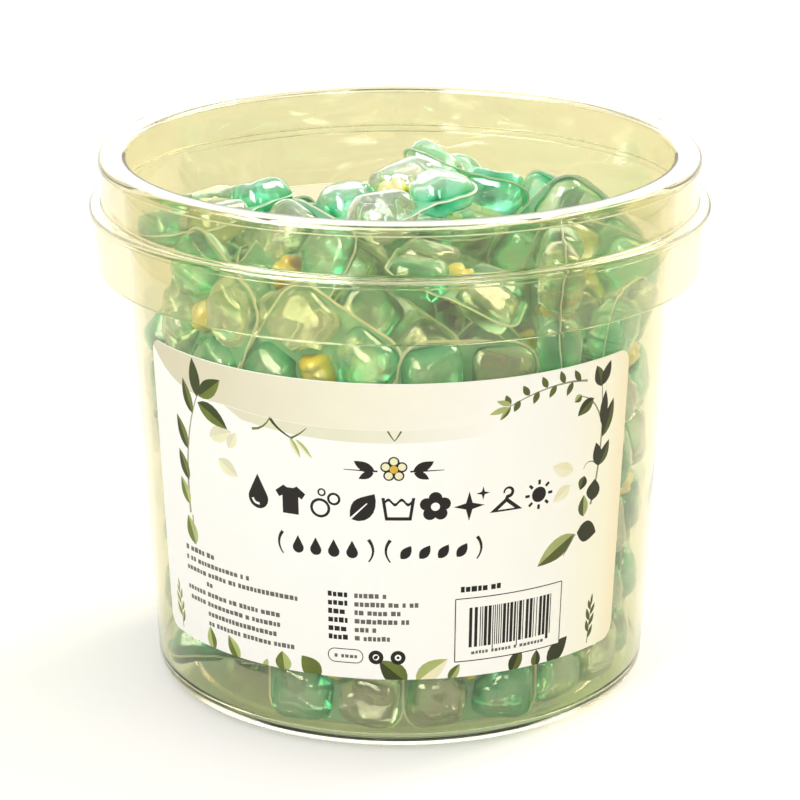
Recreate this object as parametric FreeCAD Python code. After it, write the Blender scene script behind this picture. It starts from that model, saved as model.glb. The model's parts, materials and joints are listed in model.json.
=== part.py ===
import FreeCAD, Part
import math
import os
import random

from FreeCAD import Placement, Rotation, Vector

# A clear round tub heaped with square laundry pods, with a printed label on its front.
#
# Millimetres, +Z up, the origin on the ground under the middle of the tub, the label facing -Y.
# One STEP file is written for each physical piece: the tub, its label and every pod. Only the
# pods in the middle of the heap share a file, as separate solids.

# ---- driving dimensions -------------------------------------------------------------------

# The tub is one injection moulding of clear plastic. A collar hangs outside the wall from the
# rim, and a wider skirt hangs from the ledge at the collar's foot. Both are open downwards.
tub_height = 157.0          # ground to the top of the rim
foot_radius = 73.0          # outside of the tapered wall, carried down to the ground
mouth_radius = 80.5         # outside of the tapered wall, carried up to the top of the rim
wall = 1.4                  # thickness of the wall, rim, collar, ledge and skirt
floor_thickness = 1.6
foot_round = 4.8            # outer edge between the wall and the foot
foot_ring_width = 5.0       # flat ring that the tub stands on
foot_recess = 1.5           # how far the floor inside that ring stands off the ground
rim_width = 7.3             # across the top of the rim, mouth to collar
rim_round = 1.5             # inner and outer edges of the rim
rim_bead = 0.7              # how far the bead below the rim stands out of the collar
rim_bead_height = 2.8
collar_height = 14.0        # top of the rim down to the ledge
ledge_width = 3.6           # collar out to the bead on the ledge
ledge_bead = 0.9            # how far that bead stands out of the skirt
ledge_bead_height = 2.4
ledge_round = 1.0           # edges of both beads
skirt_depth = 18.5          # ledge down to the lower edge of the skirt
skirt_draft = 1.0           # how much narrower the skirt is at its lower edge

# The label is a printed film stuck on the wall.
label_width = 157.0         # along the wall
label_foot_gap = 22.5       # ground to the lower edge of the label
label_skirt_gap = 13.5      # upper edge of the label to the lower edge of the skirt
label_corner = 4.5
label_film = 0.15
label_glue = 0.1            # between the wall and the film

# The pods are pillows of water-soluble film, all alike.
pod_count = 80
pod_side = 38.0             # across the film, from seal to seal
pod_thickness = 16.0
pod_gap = 0.3               # left between a pod and whatever it rests on
pods_inside = 23            # the pods furthest from the wall and the mouth, which share a file

# The pods are poured in small. They swell while they sink and push one another apart, under a
# lid that closes the tub, and then come to rest with the lid off.
pour_seed = 16
pour_height = 220.0         # how high the scattered pods reach before they sink
pour_steps = 1000           # the least number of steps; more follow until all pods have parted
swell_steps = 300           # the first steps, in which they grow to full size
calm_steps = 400            # the last of those steps, with the lid off, in which they only part
sink_per_step = 0.4
first_size = 0.3            # their size at the start, as a share of the full one
push_share = 1.3            # how far a push goes, as a share of the overlap that it mends
gap_left = 0.15             # the least that two pods keep of their gap
bounces = 3                 # passes of the search for the nearest points of two pods
look_again = 8              # steps between two searches for neighbours
look_margin = 6.0           # how far beyond touching that search reaches

# ---- sizes that follow ---------------------------------------------------------------------

wall_slope = (mouth_radius - foot_radius) / tub_height
wall_lean = math.hypot(1.0, wall_slope)
floor_top = foot_recess + floor_thickness
collar_radius = mouth_radius - wall + rim_width
bead_radius = collar_radius + ledge_width
skirt_radius = bead_radius - ledge_bead
ledge_z = tub_height - collar_height
skirt_z = ledge_z - skirt_depth
label_low = label_foot_gap
label_high = skirt_z - label_skirt_gap
pod_round = pod_thickness / 2.0             # a pod is a flat square plate swept by a ball
plate_half = pod_side / 2.0 - pod_round     # half the side of that plate
lid_z = tub_height - wall
turn_inertia = (3.0 * pod_side ** 2 + pod_thickness ** 2) / 24.0    # for each unit of mass
up = Vector(0, 0, 1)


def outside_radius(z):
    """Outer radius of the tapered wall at a height."""
    return foot_radius + wall_slope * z


def inside_radius(z):
    """Inner radius of the tapered wall at a height."""
    return outside_radius(z) - wall


# ---- outlines ------------------------------------------------------------------------------

def rounded_outline(corners):
    """A closed face in the XZ plane from corners (x, z, radius), a radius of 0 being sharp."""
    points = [Vector(x, 0, z) for x, z, _ in corners]
    edges = []
    starts = []
    ends = []
    for i, (_, _, radius) in enumerate(corners):
        corner = points[i]
        back = (points[i - 1] - corner).normalize()
        ahead = (points[(i + 1) % len(points)] - corner).normalize()
        if radius == 0:
            starts.append(corner)
            ends.append(corner)
            continue
        half_angle = back.getAngle(ahead) / 2.0
        reach = radius / math.tan(half_angle)
        middle = corner + (back + ahead).normalize() * (radius / math.sin(half_angle) - radius)
        starts.append(corner + back * reach)
        ends.append(corner + ahead * reach)
        edges.append((i, Part.Arc(starts[i], middle, ends[i]).toShape()))
    for i in range(len(points)):
        edges.append((i + 0.5, Part.makeLine(ends[i], starts[(i + 1) % len(points)])))
    wire = Part.Wire([edge for _, edge in sorted(edges, key=lambda pair: pair[0])])
    return Part.Face(wire)


# ---- tub -----------------------------------------------------------------------------------

def foot_outline():
    """Underside of the floor, out to the wall."""
    ring_in = foot_radius - foot_round - foot_ring_width
    return [
        (0.0, foot_recess, 0),
        (ring_in - foot_recess, foot_recess, 0),
        (ring_in, 0.0, 0),
        (foot_radius, 0.0, foot_round),
    ]


def hanging_outline():
    """Up under the rim, down inside the collar and skirt, and up again outside them."""
    under_rim = tub_height - wall
    under_ledge = ledge_z - wall
    bead_foot = ledge_z - ledge_bead_height
    rim_foot = tub_height - rim_bead_height
    return [
        (outside_radius(under_rim), under_rim, 0),
        (collar_radius - wall, under_rim, 0),
        (collar_radius - wall, under_ledge, 0),
        (skirt_radius - wall, under_ledge, 0),
        (skirt_radius - wall - skirt_draft, skirt_z, 0),
        (skirt_radius - skirt_draft, skirt_z, 0),
        (skirt_radius, bead_foot, 0),
        (bead_radius, bead_foot, ledge_round),
        (bead_radius, ledge_z, ledge_round),
        (collar_radius, ledge_z, 0),
        (collar_radius, rim_foot, 0),
        (collar_radius + rim_bead, rim_foot, ledge_round / 2.0),
        (collar_radius + rim_bead, tub_height, rim_round),
    ]


def tub():
    """The whole moulding as one turned section."""
    inner_round = foot_round - wall
    inside = [
        (inside_radius(tub_height), tub_height, rim_round),
        (inside_radius(floor_top), floor_top, inner_round),
        (0.0, floor_top, 0),
    ]
    section = rounded_outline(foot_outline() + hanging_outline() + inside)
    return section.revolve(Vector(0, 0, 0), up, 360)


# ---- label ---------------------------------------------------------------------------------

def label_corner_cut(side, top):
    """What one rounded corner takes off the label; side and top are -1 or 1."""
    height = label_high if top > 0 else label_low
    over = label_corner / 2.0
    deep = 10 * label_film
    square = Part.makeBox(label_corner + over, 2 * deep, label_corner + over,
                          Vector(-label_corner, -deep, -label_corner))
    disc = Part.makeCylinder(label_corner, 4 * deep,
                             Vector(-label_corner, -2 * deep, -label_corner), Vector(0, 1, 0))
    cut = square.cut(disc)
    if top < 0:
        cut = cut.mirror(Vector(0, 0, 0), up)
    if side < 0:
        cut = cut.mirror(Vector(0, 0, 0), Vector(1, 0, 0))
    cut.translate(Vector(0, -outside_radius(height), height))
    cut.rotate(Vector(0, 0, 0), up, side * label_span / 2.0)
    return cut


label_span = math.degrees(label_width / outside_radius((label_low + label_high) / 2.0))


def label():
    """A film wrapped round the front of the wall."""
    near = label_glue
    far = label_glue + label_film
    section = rounded_outline([
        (outside_radius(label_low) + near, label_low, 0),
        (outside_radius(label_low) + far, label_low, 0),
        (outside_radius(label_high) + far, label_high, 0),
        (outside_radius(label_high) + near, label_high, 0),
    ])
    section.rotate(Vector(0, 0, 0), up, -90.0 - label_span / 2.0)
    film = section.revolve(Vector(0, 0, 0), up, label_span)
    cuts = [label_corner_cut(side, top) for side in (-1, 1) for top in (-1, 1)]
    return film.cut(Part.makeCompound(cuts)).Solids[0]


# ---- pods ----------------------------------------------------------------------------------

def pod_solid():
    """A pillow: a block, half a rod along each of its four sides and a quarter ball at each corner."""
    side = 2 * plate_half
    shape = Part.makeBox(side, side, pod_thickness, Vector(-plate_half, -plate_half, -pod_round))
    for quarter in range(4):
        corner = Vector(plate_half, -plate_half, 0)
        rod = Part.makeCylinder(pod_round, side, corner, Vector(0, 1, 0), 180)
        ball = Part.makeSphere(pod_round, corner, up, -90, 90, 90)
        ball.rotate(corner, up, -90)
        for piece in (rod, ball):
            piece.rotate(Vector(0, 0, 0), up, 90 * quarter)
            shape = shape.fuse(piece)
    return shape.Solids[0]


class Pod:
    """One pod's place: its middle, its turn and the two directions of its plate."""

    def __init__(self, middle, turn):
        self.middle = middle
        self.turn_to(turn)

    def turn_to(self, turn):
        self.turn = turn
        self.along = turn.multVec(Vector(1, 0, 0))
        self.across = turn.multVec(Vector(0, 1, 0))

    def nearest(self, point, half):
        """The point of the plate that lies nearest to a point."""
        offset = point - self.middle
        u = min(half, max(-half, offset.dot(self.along)))
        v = min(half, max(-half, offset.dot(self.across)))
        return self.middle + self.along * u + self.across * v

    def corners(self, half):
        return [self.middle + self.along * (half * i) + self.across * (half * j)
                for i, j in ((1, 1), (1, -1), (-1, -1), (-1, 1))]

    def yielding(self, arm, push):
        """How easily a push at the end of an arm moves the pod there."""
        return 1.0 + arm.cross(push).Length ** 2 / turn_inertia

    def give(self, arm, push):
        """Moves and turns the pod by a push at the end of an arm."""
        self.middle = self.middle + push
        spin = arm.cross(push) / turn_inertia
        if spin.Length > 1e-9:
            self.turn_to(Rotation(spin, math.degrees(spin.Length)) * self.turn)


def scattered_pods():
    """The pods before they swell: spread over the height of the pour, turned at random."""
    dice = random.Random(pour_seed)
    golden = math.pi * (3.0 - math.sqrt(5.0))
    reach = foot_radius - pod_side / 2.0
    pods = []
    for i in range(pod_count):
        height = floor_top + (i + 0.5) / pod_count * pour_height
        out = reach * math.sqrt(dice.random())
        middle = Vector(out * math.cos(i * golden), out * math.sin(i * golden), height)
        axis = Vector(dice.gauss(0, 1), dice.gauss(0, 1), dice.gauss(0, 1))
        pods.append(Pod(middle, Rotation(axis, dice.uniform(0, 360))))
    return pods


def neighbours(pods, reach):
    """Pairs of pods whose middles lie within a reach."""
    return [(i, j) for i, first in enumerate(pods) for j in range(i + 1, len(pods))
            if (first.middle - pods[j].middle).Length < reach]


def nearest_points(first, second, start, half):
    """The nearest points of two plates, found by going to and fro between them."""
    there = start
    for _ in range(bounces):
        here = first.nearest(there, half)
        there = second.nearest(here, half)
    return here, there


def push_apart(first, second, here, there, reach):
    """Parts two pods whose plates are nearer than the reach, and says by how much they were."""
    offset = here - there
    distance = offset.Length
    if distance >= reach or distance < 1e-6:
        return 0.0
    away = offset / distance
    arm = here - first.middle
    other_arm = there - second.middle
    share = push_share * (reach - distance) / (first.yielding(arm, away) + second.yielding(other_arm, away))
    first.give(arm, away * share)
    second.give(other_arm, away * -share)
    return reach - distance


def push_inside(pod, half, ball, lid_on):
    """Keeps the four corners of a pod off the floor, the wall and the lid."""
    for corner in pod.corners(half):
        arm = corner - pod.middle
        low = floor_top + ball - corner.z
        high = corner.z + ball - lid_z
        if low > 0:
            pod.give(arm, up * (low / pod.yielding(arm, up)))
        if high > 0 and lid_on:
            pod.give(arm, up * (-high / pod.yielding(arm, up)))
        out = math.hypot(corner.x, corner.y)
        close = ball - (inside_radius(corner.z) - out) / wall_lean
        if close > 0:
            inward = Vector(-corner.x / out, -corner.y / out, wall_slope) / wall_lean
            pod.give(arm, inward * (close / pod.yielding(arm, inward)))


def poured_pods():
    """The pods at rest in the tub, the lowest first."""
    pods = scattered_pods()
    touching = 2 * (plate_half * math.sqrt(2) + pod_round)
    last = {}
    step = 0
    deepest = pod_gap
    while step < pour_steps or deepest > pod_gap - gap_left:
        size = min(1.0, first_size + (1.0 - first_size) * step / swell_steps)
        half = plate_half * size
        ball = pod_round * size
        if step % look_again == 0:
            pairs = neighbours(pods, touching * size + look_margin)
        lid_on = step < pour_steps - calm_steps
        if lid_on:
            for pod in pods:
                pod.middle = pod.middle - up * sink_per_step
        deepest = 0.0
        for i, j in pairs:
            start = last.get((i, j), pods[j].middle)
            here, there = nearest_points(pods[i], pods[j], start, half)
            last[(i, j)] = there
            deepest = max(deepest, push_apart(pods[i], pods[j], here, there, 2 * ball + pod_gap))
        for pod in pods:
            push_inside(pod, half, ball + pod_gap, lid_on)
        step += 1
    return sorted(pods, key=lambda pod: pod.middle.z)


# ---- parts ---------------------------------------------------------------------------------

def depth(pod):
    """How far inside the heap a pod lies: to the wall or to the mouth, whichever is nearer."""
    out = math.hypot(pod.middle.x, pod.middle.y)
    return min(inside_radius(pod.middle.z) - out, tub_height - pod.middle.z)


def write(shape, name):
    shape.exportStep("parts/%s.step" % name)


def main():
    os.makedirs("parts", exist_ok=True)
    write(tub(), "tub")
    write(label(), "label")
    pillow = pod_solid()
    pods = poured_pods()
    deepest = sorted(pods, key=depth, reverse=True)[:pods_inside]
    inside = []
    number = 0
    for pod in pods:
        solid = pillow.copy()
        solid.Placement = Placement(pod.middle, pod.turn)
        if pod in deepest:
            inside.append(solid)
        else:
            number += 1
            write(solid, "pod_%02d" % number)
    write(Part.makeCompound(inside), "pods_inside")


if __name__ == "__main__":
    main()
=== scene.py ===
# %% [markdown]
# # A clear tub of laundry pods
#
# The object is an open, see-through tub with a printed label, heaped with square laundry pods.
# Its sizes come from the imported CAD model, which is loaded first and never changed. Each piece
# below stands in for a CAD piece of the same place and size, and adds what the eye expects:
# plastic that bends light, film with sealed edges, gel of three colours and a printed label.

# %% Load the frame
import json
import math
import random

import bmesh
import bpy
import numpy as np
from mathutils import Matrix, Vector, noise
from mathutils.geometry import delaunay_2d_cdt

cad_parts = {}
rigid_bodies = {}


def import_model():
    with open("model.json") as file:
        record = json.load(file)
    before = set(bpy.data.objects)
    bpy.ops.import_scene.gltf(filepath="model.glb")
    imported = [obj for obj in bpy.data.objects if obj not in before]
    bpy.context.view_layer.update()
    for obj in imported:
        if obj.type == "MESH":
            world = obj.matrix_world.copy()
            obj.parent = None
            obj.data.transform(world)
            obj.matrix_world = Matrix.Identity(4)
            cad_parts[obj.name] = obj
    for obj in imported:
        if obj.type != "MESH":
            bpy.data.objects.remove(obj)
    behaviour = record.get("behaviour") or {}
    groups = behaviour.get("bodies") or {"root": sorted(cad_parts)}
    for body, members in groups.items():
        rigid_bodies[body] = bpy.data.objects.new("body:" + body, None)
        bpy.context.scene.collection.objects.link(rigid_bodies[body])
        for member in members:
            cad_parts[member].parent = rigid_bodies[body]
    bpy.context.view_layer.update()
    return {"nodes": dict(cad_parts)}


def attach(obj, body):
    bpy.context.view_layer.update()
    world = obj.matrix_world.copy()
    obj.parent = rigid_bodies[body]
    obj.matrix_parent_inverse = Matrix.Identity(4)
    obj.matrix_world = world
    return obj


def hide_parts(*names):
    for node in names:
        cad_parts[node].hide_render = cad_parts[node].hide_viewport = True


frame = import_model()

pod_nodes = sorted(name for name in frame["nodes"] if name.startswith("pod"))
mm = 0.001

# %% [markdown]
# ## Colours and nodes
#
# Colours are chosen as sRGB hex values, as on a colour card, while a shader works in linear
# light. One function turns the first into the second. Another adds a node with its settings,
# fills or links its inputs and lays a ramp's colours along it, so that each material below reads
# as a short list of what it is made of.

# %% Helpers for every material
def linear(hex_colour):
    """An sRGB hex colour as linear red, green, blue and alpha."""
    values = [int(hex_colour[i:i + 2], 16) / 255 for i in (1, 3, 5)]
    return [v / 12.92 if v <= 0.04045 else ((v + 0.055) / 1.055) ** 2.4 for v in values] + [1.0]


def add_node(tree, kind, inputs=None, stops=(), **settings):
    """A new node. An input gets a value, or a link from another node or from one of its outputs.

    The stops of a colour ramp are its colours, each with its place from 0 to 1.
    """
    node = tree.nodes.new(kind)
    for name, value in settings.items():
        setattr(node, name, value)
    for name, value in (inputs or {}).items():
        if isinstance(value, bpy.types.Node):
            value = value.outputs[0]
        if isinstance(value, bpy.types.NodeSocket):
            tree.links.new(value, node.inputs[name])
        else:
            node.inputs[name].default_value = value
    for _ in stops[2:]:
        node.color_ramp.elements.new(0.5)
    for k, (place, colour) in enumerate(stops):
        element = node.color_ramp.elements[k]
        element.position, element.color = place, linear(colour)
    return node


def new_material(name):
    """An empty material and its node tree."""
    material = bpy.data.materials.new(name)
    material.use_nodes = True
    material.node_tree.nodes.clear()
    return material, material.node_tree


print("one pale colour in linear light:", [round(v, 3) for v in linear("#f3ecc0")])

# %% [markdown]
# ## Camera
#
# A long lens keeps the tub's sides nearly upright, and a camera a hand above the rim looks
# down into the mouth. It stands a little to the right of the label's middle.

# %% Camera
def put_in(name, data):
    """A new object in the scene."""
    thing = bpy.data.objects.new(name, data)
    bpy.context.scene.collection.objects.link(thing)
    return thing


def look_at(thing, target):
    """Turns a camera or lamp towards a point."""
    thing.rotation_euler = (Vector(target) - thing.location).to_track_quat("-Z", "Y").to_euler()


camera_data = bpy.data.cameras.new("camera")
camera_data.lens = 134.0
camera_data.sensor_width = 36.0
camera = put_in("camera", camera_data)
camera.location = (0.0600, -0.8363, 0.3629)
look_at(camera, (0.0, 0.0, 0.0800))
bpy.context.scene.camera = camera
bpy.context.scene.view_settings.view_transform = "Standard"
print("camera is", round(camera.location.length, 3), "m from the tub's foot")

# %% [markdown]
# ## Stage and light
#
# Clear plastic shows mostly what is around it, so the room matters. Seen straight on, the floor
# and the room are white. Seen in the plastic, the room has warm cards at its sides, which give
# the rim and the skirt their cream edges, and three bright windows, which the film and the gels
# mirror as highlights. It is dimmer behind the camera, so that the front wall doesn't mirror a
# white veil. Light that comes down through the gels would tint the table, so that light is painted
# on the table where it is seen through the plastic: green under the tub, and a little darker and
# warmer beyond. Two soft lamps light the print and cast the shadow.

# %% The floor
# Inside the first of the two radii the table has painted green light, which fades out by the second.
floor_half, painted_light_to, plain_from, floor_glow = 6, 0.066, 0.090, 0.26
floor_mesh = bpy.data.meshes.new("floor")
floor_mesh.from_pydata([(x * floor_half, y * floor_half, 0) for x, y in ((-1, -1), (1, -1), (1, 1), (-1, 1))],
                       [], [(0, 1, 2, 3)])
floor = put_in("floor", floor_mesh)

white_table, tree = new_material("matt_white_table")
place = add_node(tree, "ShaderNodeTexCoord").outputs["Object"]
from_middle = add_node(tree, "ShaderNodeVectorMath", {0: place}, operation="LENGTH").outputs["Value"]
beside = add_node(tree, "ShaderNodeMapRange", {0: from_middle, 1: painted_light_to, 2: plain_from},
                  interpolation_type="SMOOTHSTEP")
# Painted light: under the tub the table is green, as if lit through the gels, and beyond it a painted darker,
# warmer tone.
painted_gel_light = add_node(tree, "ShaderNodeMix", {0: beside, 6: linear("#9cbc58"), 7: linear("#dedacb")},
                       data_type="RGBA").outputs[2]
path = add_node(tree, "ShaderNodeLightPath").outputs
# Only rays through the plastic see this painted light and shade. Other rays see the plain table.
table = add_node(tree, "ShaderNodeMix",
                 {0: path["Is Transmission Ray"], 6: linear("#ebeae7"), 7: painted_gel_light},
                 data_type="RGBA").outputs[2]
lit = add_node(tree, "ShaderNodeBsdfDiffuse", {"Color": table})
seen = add_node(tree, "ShaderNodeMath", {0: path["Is Camera Ray"], 1: path["Is Glossy Ray"]},
                operation="MAXIMUM")
strength = add_node(tree, "ShaderNodeMath", {0: seen, 1: floor_glow}, operation="MULTIPLY")
glow = add_node(tree, "ShaderNodeEmission", {"Color": (1, 1, 1, 1), "Strength": strength})
both = add_node(tree, "ShaderNodeAddShader", {0: lit, 1: glow})
add_node(tree, "ShaderNodeOutputMaterial", {"Surface": both})
floor_mesh.materials.append(white_table)
print("the floor is", 2 * floor_half, "m wide, and plain from", plain_from, "m off the tub's axis")

# %% The room, by the direction in which it is seen
windows = (  # limits of X, of Y and of Z, and the power
    ((-0.78, -0.22), (-0.95, -0.05), (0.16, 0.80), 13.0), ((0.38, 0.56), (-0.95, -0.20), (0.15, 0.60), 9.0),
    ((-0.60, 0.60), (0.30, 1.10), (0.18, 0.42), 1.6))
soft = 0.04
world = bpy.data.worlds.new("studio")
world.use_nodes = True
tree = world.node_tree
tree.nodes.clear()
way = add_node(tree, "ShaderNodeSeparateXYZ",
               {0: add_node(tree, "ShaderNodeTexCoord").outputs["Generated"]}).outputs
sideways = add_node(tree, "ShaderNodeMath", {0: way["X"]}, operation="ABSOLUTE")
card = add_node(tree, "ShaderNodeValToRGB", {0: sideways},
                stops=((0.3, "#fbf9f0"), (0.7, "#f4ebc2"), (0.95, "#eed996")))
front = add_node(tree, "ShaderNodeMapRange", {0: way["Y"], 1: -0.9, 2: 0.0, 3: 0.4, 4: 1.0})
dim = add_node(tree, "ShaderNodeHueSaturation", {"Value": front, "Color": card})
lit_up = 0.0
for *limits, share in windows:
    for axis, (low, high) in zip("XYZ", limits):
        for start, end in ((low - soft, low + soft), (high + soft, high - soft)):
            edge = add_node(tree, "ShaderNodeMapRange", {0: way[axis], 1: start, 2: end},
                            interpolation_type="SMOOTHSTEP")
            share = add_node(tree, "ShaderNodeMath", {0: edge, 1: share}, operation="MULTIPLY")
    lit_up = add_node(tree, "ShaderNodeMath", {0: share, 1: lit_up}, operation="ADD")
# The windows are there for mirrors only: light that has met a matt surface doesn't find them.
path = add_node(tree, "ShaderNodeLightPath").outputs
fresh = add_node(tree, "ShaderNodeMath", {0: path["Diffuse Depth"], 1: 0.5}, operation="LESS_THAN")
lit_up = add_node(tree, "ShaderNodeMath", {0: lit_up, 1: fresh}, operation="MULTIPLY")
bright = add_node(tree, "ShaderNodeMix", {0: 1.0, 6: dim, 7: lit_up},
                  data_type="RGBA", blend_type="ADD").outputs[2]
seen = path["Is Camera Ray"]
for ray in ("Is Glossy Ray", "Is Transmission Ray"):
    seen = add_node(tree, "ShaderNodeMath", {0: seen, 1: path[ray]}, operation="MAXIMUM")
room = add_node(tree, "ShaderNodeMix", {0: seen, 6: linear("#eeece8"), 7: bright},
                data_type="RGBA").outputs[2]
shown = add_node(tree, "ShaderNodeMix", {0: path["Is Camera Ray"], 6: room, 7: (1, 1, 1, 1)},
                 data_type="RGBA").outputs[2]
air = add_node(tree, "ShaderNodeBackground", {"Color": shown, "Strength": 1.0})
add_node(tree, "ShaderNodeOutputWorld", {"Surface": air})
bpy.context.scene.world = world
print("the room has", len(windows), "windows and", len(tree.nodes), "nodes")


# %% Two lamps, and how far light is followed
def soft_lamp(name, place, target, size, watts, colour):
    """A square soft box."""
    data = bpy.data.lights.new(name, "AREA")
    data.size, data.energy, data.color = size, watts, linear(colour)[:3]
    lamp = put_in(name, data)
    lamp.location = place
    look_at(lamp, target)


soft_lamp("key_lamp", (-0.7, -1.3, 1.1), (0, 0, 0.08), 0.4, 6.1, "#fffaf2")
soft_lamp("back_lamp", (0.9, 0.8, 1.3), (0, 0, 0.10), 0.7, 15.2, "#fff4e0")
# Light runs up inside the clear wall by many mirror bounces before it leaves at the rim, and with
# only two lamps, picking a lamp by the plain rule gives the same picture in less time.
cycles = bpy.context.scene.cycles
cycles.max_bounces = cycles.transmission_bounces = cycles.glossy_bounces = 24
cycles.use_light_tree = False

# %% [markdown]
# ## The tub
#
# The real tub is clarified polypropylene, moulded in one shot. It has the same section all the
# way round, so the section is drawn once, with its corners rounded, and turned about the axis.
# Extra points beside each rounding keep the flat walls flat in smooth shading.

# %% The tub's section, in millimetres
tub_height, wall, floor_thickness = 157.0, 1.4, 1.6
foot_radius, mouth_radius = 73.0, 80.5
foot_round, foot_ring, foot_recess = 4.8, 5.0, 1.5
collar_radius, bead_radius, skirt_radius, rim_bead, rim_bead_height = 86.4, 90.0, 89.1, 0.7, 2.8
ledge_z, skirt_z, skirt_draft, ledge_bead_height = 143.0, 124.5, 1.0, 2.4
wall_slope = (mouth_radius - foot_radius) / tub_height
floor_top = foot_recess + floor_thickness
ring_inside = foot_radius - foot_round - foot_ring


def outside(z):
    """Outer radius of the tapered wall."""
    return foot_radius + wall_slope * z


tub_section = [
    (0, foot_recess, 0), (ring_inside - foot_recess, foot_recess, 0.5), (ring_inside, 0.01, 0.3),
    (foot_radius, 0.01, foot_round), (outside(tub_height - wall), tub_height - wall, 0.4),
    (collar_radius - wall, tub_height - wall, 0.4), (collar_radius - wall, ledge_z - wall, 0.3),
    (skirt_radius - wall, ledge_z - wall, 0.3), (skirt_radius - wall - skirt_draft, skirt_z, 0.35),
    (skirt_radius - skirt_draft, skirt_z, 0.5), (skirt_radius, ledge_z - ledge_bead_height, 0.2),
    (bead_radius, ledge_z - ledge_bead_height, 1.0), (bead_radius, ledge_z, 1.0),
    (collar_radius, ledge_z, 0.6), (collar_radius, tub_height - rim_bead_height, 0.3),
    (collar_radius + rim_bead, tub_height - rim_bead_height, 0.4),
    (collar_radius + rim_bead, tub_height, 1.5), (outside(tub_height) - wall, tub_height, 1.5),
    (outside(floor_top) - wall, floor_top, foot_round - wall), (0, floor_top, 0)]


def rounded(corners, steps=5, beside=0.15):
    """The corners' outline with each corner turned into an arc and its straights held flat."""
    most, most_beside = 0.49, 0.2  # shares of a straight
    points = []
    for i, (x, z, radius) in enumerate(corners):
        here = Vector((x, z))
        if radius == 0:
            points.append(here)
            continue
        before, after = (Vector(corners[k % len(corners)][:2]) - here for k in (i - 1, i + 1))
        to_before, to_after = before.normalized(), after.normalized()
        half = before.angle(after) / 2
        back = min(radius / math.tan(half), most * before.length, most * after.length)
        middle = here + (to_before + to_after).normalized() * (back * math.tan(half)) / math.sin(half)
        a, b = here + to_before * back - middle, here + to_after * back - middle
        turn = math.atan2(a.x * b.y - a.y * b.x, a.dot(b))
        points.append(here + to_before * back + to_before * min(beside, most_beside * before.length))
        points += [middle + Matrix.Rotation(turn * k / steps, 2) @ a for k in range(steps + 1)]
        points.append(here + to_after * back + to_after * min(beside, most_beside * after.length))
    return points


def band(ring, after):
    """Faces between two rings of vertices. Where a ring is a single point they are triangles."""
    sides = zip(ring, ring[1:] + ring[:1], after[1:] + after[:1], after)
    return [tuple(dict.fromkeys(corners)) for corners in sides]


def spun(name, outline, segments):
    """A closed body turned about the Z axis. The outline starts and ends on the axis."""
    rings, vertices, faces = [], [], []
    for x, z in outline:
        around = 1 if x < 1e-6 else segments
        rings.append([len(vertices) + k % around for k in range(segments)])
        for k in range(around):
            angle = math.tau * k / segments
            vertices.append((x * mm * math.cos(angle), x * mm * math.sin(angle), z * mm))
    for ring, after in zip(rings, rings[1:]):
        faces += band(ring, after)
    mesh = bpy.data.meshes.new(name)
    mesh.from_pydata(vertices, [], faces)
    mesh.shade_smooth()
    body = bmesh.new()
    body.from_mesh(mesh)
    bmesh.ops.recalc_face_normals(body, faces=body.faces[:])
    print(name, "has", len(faces), "faces and", round(body.calc_volume() * 1e6, 1), "cm3 of plastic")
    body.to_mesh(mesh)
    body.free()
    return mesh


tub_mesh = spun("tub_wall", rounded(tub_section), 240)

# %% [markdown]
# ## Clarified polypropylene
#
# It is clear with a faint warm cast that gathers where the eye looks through several walls, at
# the rim and the skirt. It is moulded, so the surface is smooth but not quite flat. Lamp rays
# pass straight through it, because light bent by thin walls would take very long to compute.

# %% The plastic
def lamps_pass(tree, look, tint):
    """Lets rays on their way to a lamp pass straight through a clear surface."""
    shadow = add_node(tree, "ShaderNodeLightPath").outputs["Is Shadow Ray"]
    clear = add_node(tree, "ShaderNodeBsdfTransparent", {"Color": linear(tint)})
    return add_node(tree, "ShaderNodeMixShader", {0: shadow, 1: look, 2: clear})


clear_plastic, tree = new_material("clarified_polypropylene")
place = add_node(tree, "ShaderNodeTexCoord").outputs["Object"]
swell = add_node(tree, "ShaderNodeTexNoise", {"Vector": place, "Scale": 30.0, "Detail": 1.0})
uneven = add_node(tree, "ShaderNodeBump", {"Strength": 0.15, "Distance": 0.6 * mm, "Height": swell})
plastic = add_node(tree, "ShaderNodeBsdfPrincipled",
                   {"Base Color": linear("#f1efda"), "Roughness": 0.03, "IOR": 1.47,
                    "Transmission Weight": 1.0, "Normal": uneven})
add_node(tree, "ShaderNodeOutputMaterial", {"Surface": lamps_pass(tree, plastic, "#fefcf4")})
tub_mesh.materials.append(clear_plastic)
tub = put_in("tub_wall", tub_mesh)
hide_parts("tub")
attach(tub, "root")

# %% [markdown]
# ## Where each pod lies
#
# The CAD model has poured the pods into the tub, so every pod's place and turn is in it. A CAD
# pod is a flat pillow whose two largest triangles halve the square on its face. The right angle
# of such a triangle gives the pod's sides, and the middle of its longest edge is the middle of
# the face, so one triangle is enough to know how the pod lies.

# %% Read the pods' places from the CAD meshes
pod_half, pod_round = 19.0, 8.0
plate = 2 * (pod_half - pod_round)
plate_share, same_pod = 0.4, 2 * mm


def numbers(items, name, width, kind=float):
    """One property of all of a mesh's items, as rows of numbers."""
    values = np.empty(len(items) * width, dtype=kind)
    items.foreach_get(name, values)
    return values.reshape(-1, width)


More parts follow.
